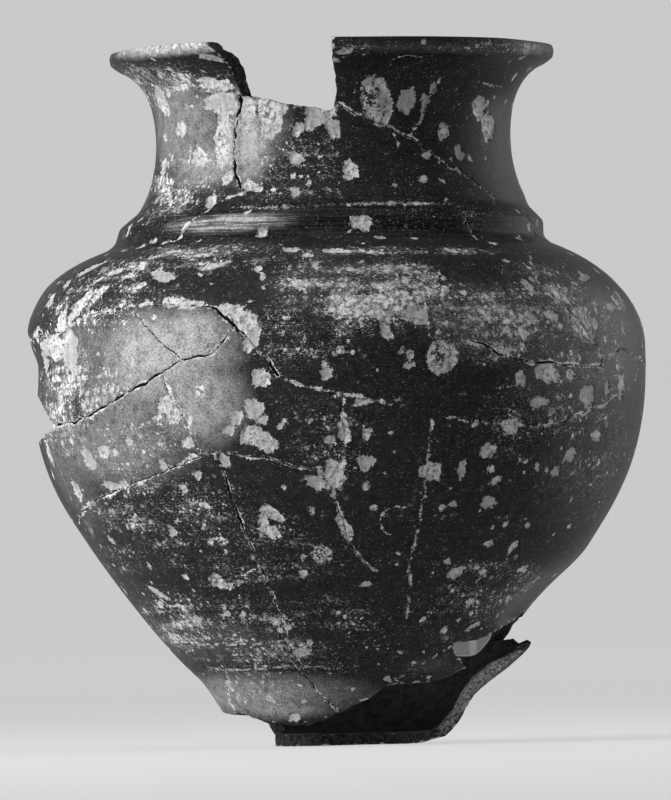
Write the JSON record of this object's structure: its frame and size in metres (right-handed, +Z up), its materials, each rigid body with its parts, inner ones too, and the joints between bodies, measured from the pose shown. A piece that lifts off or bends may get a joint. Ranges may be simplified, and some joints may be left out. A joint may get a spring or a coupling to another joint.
{
  "type": "vase",
  "caption": "Broken and mended pottery jar with a round belly, a stepped collar, a flaring rim and a small flat foot, hollow and open at the top.",
  "frame": {"origin": "centre of the foot's underside, on the jar's axis, at the level it stands on", "axes": "+Z up along the jar's axis, -Y out of the front that the picture shows, +X to the right of that view"},
  "size_m": [0.2782, 0.2774, 0.313],
  "materials": {
    "burnished_slip": "dark burnished slip with a soft sheen, flaked to pale clay in spots, with pale filled joins"
  },
  "bodies": {
    "root": {"vase": "burnished_slip"}
  },
  "joints": []
}
